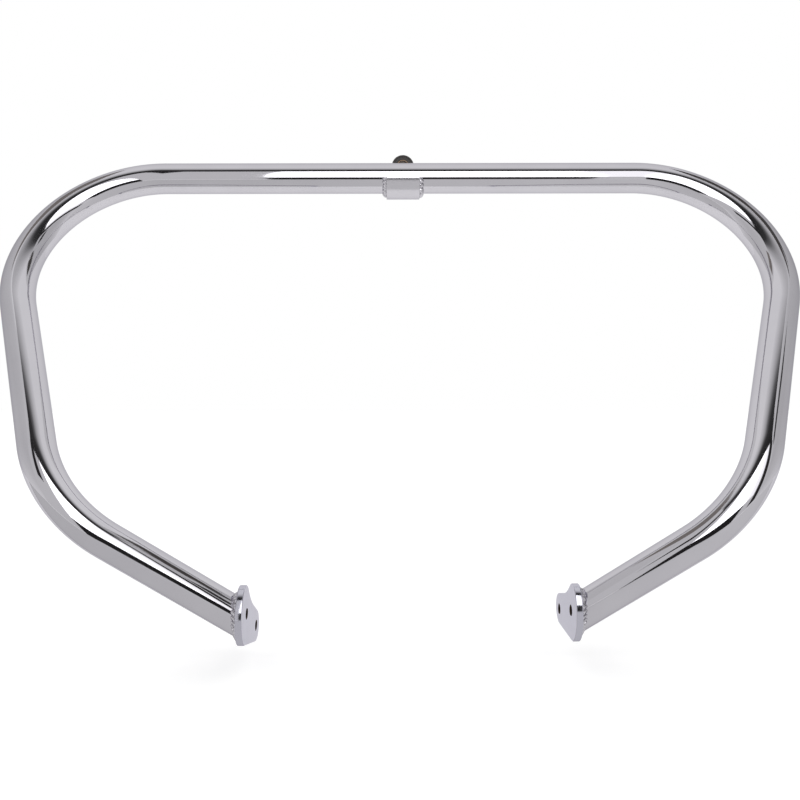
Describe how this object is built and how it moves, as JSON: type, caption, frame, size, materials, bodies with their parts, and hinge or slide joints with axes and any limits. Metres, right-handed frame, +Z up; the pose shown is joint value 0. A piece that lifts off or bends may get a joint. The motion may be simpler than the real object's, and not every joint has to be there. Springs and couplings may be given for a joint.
{
  "type": "motorcycle crash bars",
  "caption": "Chromed crash bars for a motorcycle: one bent tube forming two side loops, with a rubber-bushed top strap and a bolt plate at each end.",
  "frame": {"origin": "middle of the top bush, on the axis of the top bolt", "axes": "+X to the right as seen from the front of the picture, +Y to the rear along the top bolt, +Z up as fitted to the machine"},
  "size_m": [0.7826, 0.2171, 0.496],
  "materials": {
    "chrome": "polished",
    "weld": "chromed weld bead",
    "rubber": "moulded matt",
    "sleeve": "zinc plated, yellowed"
  },
  "bodies": {
    "root": {"guard_tube": "chrome", "top_strap": "chrome", "strap_bead_left": "weld", "strap_bead_right": "weld", "bush_rubber": "rubber", "bush_sleeve": "sleeve", "end_plate_left": "chrome", "end_plate_right": "chrome", "end_bead_left": "weld", "end_bead_right": "weld"}
  },
  "joints": []
}
